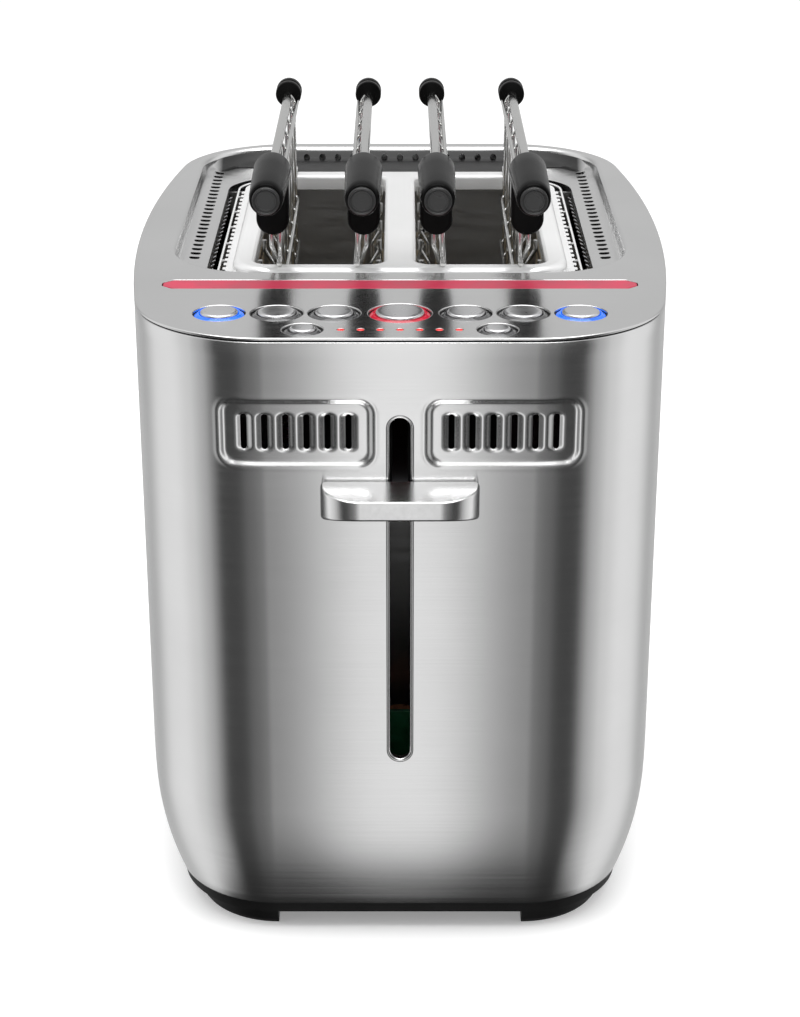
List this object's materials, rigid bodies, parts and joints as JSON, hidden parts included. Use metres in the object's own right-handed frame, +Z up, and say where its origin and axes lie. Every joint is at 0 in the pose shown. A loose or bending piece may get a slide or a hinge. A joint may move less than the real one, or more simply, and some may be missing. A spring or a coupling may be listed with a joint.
{
  "type": "sandwich maker",
  "caption": "Brushed steel pop-up sandwich toaster with wire sandwich cages hanging in its slots, push buttons, light bar, lever and crumb tray.",
  "frame": {"origin": "on the floor under the feet, in the middle of the outline box", "axes": "+Z up, front with the lever towards -Y, +X to the right as seen from the front"},
  "size_m": [0.186, 0.2754, 0.2589],
  "materials": {
    "steel_skin": "fine horizontal brushing, satin",
    "cover_steel": "polished satin steel",
    "plate_steel": "bright polished steel",
    "red_bar": "translucent red light guide",
    "lamp_red": "translucent red lamp",
    "ring_blue": "lit blue light guide",
    "ring_red": "lit red light guide",
    "ring_grey": "unlit smoky light guide",
    "button_silver": "satin silver cap",
    "board_green": "green circuit board",
    "part_dark": "dark moulded parts",
    "screw_steel": "zinc plated",
    "base_black": "black moulded plastic",
    "pad_rubber": "soft rubber",
    "tray_steel": "plain sheet",
    "chassis_steel": "galvanised sheet",
    "mica": "mica board",
    "ribbon": "oxidised resistance ribbon",
    "guide_wire": "plated wire",
    "shaft_steel": "ground steel",
    "carriage_black": "heat resistant plastic",
    "knob_silver": "satin silver",
    "spring_steel": "spring steel",
    "coil_copper": "copper coil",
    "cage_wire": "chromed wire",
    "grip_black": "matte black heat resistant plastic"
  },
  "bodies": {
    "housing": {"body_shell": "steel_skin", "top_cover": "cover_steel", "slot_plate": "plate_steel", "light_bar": "red_bar", "indicator_lamps": "lamp_red", "blue_light_rings": "ring_blue", "red_light_ring": "ring_red", "plain_rings": "ring_grey", "small_rings": "ring_grey", "control_board": "board_green", "main_board": "board_green", "tact_switches": "part_dark", "board_parts": "part_dark", "board_screws": "screw_steel", "foot_screws": "screw_steel", "base_plate": "base_black", "feet": "base_black", "cord_inlet": "base_black", "foot_pads": "pad_rubber", "front_chassis": "chassis_steel", "rear_chassis": "chassis_steel", "side_liners": "chassis_steel", "mica_boards": "mica", "heater_ribbons": "ribbon", "guide_shafts": "shaft_steel", "lift_spring": "spring_steel", "latch_magnet": "coil_copper"},
    "tray": {"crumb_tray": "tray_steel", "tray_grip": "base_black"},
    "carriage": {"carriage": "carriage_black", "lifters": "shaft_steel", "lever_knob": "knob_silver", "armature": "shaft_steel"},
    "guides_a": {"guide_frames_a": "guide_wire"},
    "guides_b": {"guide_frames_b": "guide_wire"},
    "left_cage": {"left_cage_frame": "cage_wire", "left_frame_grip": "grip_black", "left_frame_cap": "grip_black", "left_hinge_pin": "cage_wire"},
    "left_jaw": {"left_cage_jaw": "cage_wire", "left_jaw_grip": "grip_black", "left_jaw_cap": "grip_black"},
    "right_cage": {"right_cage_frame": "cage_wire", "right_frame_grip": "grip_black", "right_frame_cap": "grip_black", "right_hinge_pin": "cage_wire"},
    "right_jaw": {"right_cage_jaw": "cage_wire", "right_jaw_grip": "grip_black", "right_jaw_cap": "grip_black"},
    "body_button_middle": {"button_middle": "button_silver"},
    "body_button_left_1": {"button_left_1": "button_silver"},
    "body_button_left_2": {"button_left_2": "button_silver"},
    "body_button_left_3": {"button_left_3": "button_silver"},
    "body_button_right_1": {"button_right_1": "button_silver"},
    "body_button_right_2": {"button_right_2": "button_silver"},
    "body_button_right_3": {"button_right_3": "button_silver"},
    "body_button_small_left": {"button_small_left": "button_silver"},
    "body_button_small_right": {"button_small_right": "button_silver"}
  },
  "joints": [
    {"name": "tray_slide", "type": "slide", "parent": "housing", "child": "tray", "axis": [0, 1, 0], "range_m": [0, 0.16]},
    {"name": "lever_slide", "type": "slide", "parent": "housing", "child": "carriage", "axis": [0, 0, 1], "range_m": [-0.088, 0.015], "stiffness_N_per_m": 80, "springref_m": 0.0167, "deforming": ["lift_spring"]},
    {"name": "guides_a_slide", "type": "slide", "parent": "housing", "child": "guides_a", "axis": [1, 0, 0], "range_m": [-0.0005, 0.0021]},
    {"name": "guides_b_slide", "type": "slide", "parent": "housing", "child": "guides_b", "axis": [1, 0, 0], "range_m": [-0.0021, 0.0005]},
    {"name": "press_middle", "type": "slide", "parent": "housing", "child": "body_button_middle", "axis": [0, 0, 1], "range_m": [-0.0015, 0], "stiffness_N_per_m": 400, "springref_m": 0.001},
    {"name": "press_left_1", "type": "slide", "parent": "housing", "child": "body_button_left_1", "axis": [0, 0, 1], "range_m": [-0.0015, 0], "stiffness_N_per_m": 400, "springref_m": 0.001},
    {"name": "press_left_2", "type": "slide", "parent": "housing", "child": "body_button_left_2", "axis": [0, 0, 1], "range_m": [-0.0015, 0], "stiffness_N_per_m": 400, "springref_m": 0.001},
    {"name": "press_left_3", "type": "slide", "parent": "housing", "child": "body_button_left_3", "axis": [0, 0, 1], "range_m": [-0.0015, 0], "stiffness_N_per_m": 400, "springref_m": 0.001},
    {"name": "press_right_1", "type": "slide", "parent": "housing", "child": "body_button_right_1", "axis": [0, 0, 1], "range_m": [-0.0015, 0], "stiffness_N_per_m": 400, "springref_m": 0.001},
    {"name": "press_right_2", "type": "slide", "parent": "housing", "child": "body_button_right_2", "axis": [0, 0, 1], "range_m": [-0.0015, 0], "stiffness_N_per_m": 400, "springref_m": 0.001},
    {"name": "press_right_3", "type": "slide", "parent": "housing", "child": "body_button_right_3", "axis": [0, 0, 1], "range_m": [-0.0015, 0], "stiffness_N_per_m": 400, "springref_m": 0.001},
    {"name": "press_small_left", "type": "slide", "parent": "housing", "child": "body_button_small_left", "axis": [0, 0, 1], "range_m": [-0.0015, 0], "stiffness_N_per_m": 400, "springref_m": 0.001},
    {"name": "press_small_right", "type": "slide", "parent": "housing", "child": "body_button_small_right", "axis": [0, 0, 1], "range_m": [-0.0015, 0], "stiffness_N_per_m": 400, "springref_m": 0.001},
    {"name": "left_cage_lift", "type": "slide", "parent": "housing", "child": "left_cage", "axis": [0, 0, 1], "range_m": [0, 0.2]},
    {"name": "left_jaw_hinge", "type": "hinge", "parent": "left_cage", "child": "left_jaw", "pos_m": [-0.028, 0.024, 0.161], "axis": [0, 1, 0], "range_deg": [-8, 0]},
    {"name": "right_cage_lift", "type": "slide", "parent": "housing", "child": "right_cage", "axis": [0, 0, 1], "range_m": [0, 0.2]},
    {"name": "right_jaw_hinge", "type": "hinge", "parent": "right_cage", "child": "right_jaw", "pos_m": [0.028, 0.024, 0.161], "axis": [0, 1, 0], "range_deg": [-8, 0]}
  ],
  "couplings": [
    {"joint": "guides_a_slide", "follows": "lever_slide", "ratio": -0.022727},
    {"joint": "guides_b_slide", "follows": "lever_slide", "ratio": 0.022727}
  ]
}
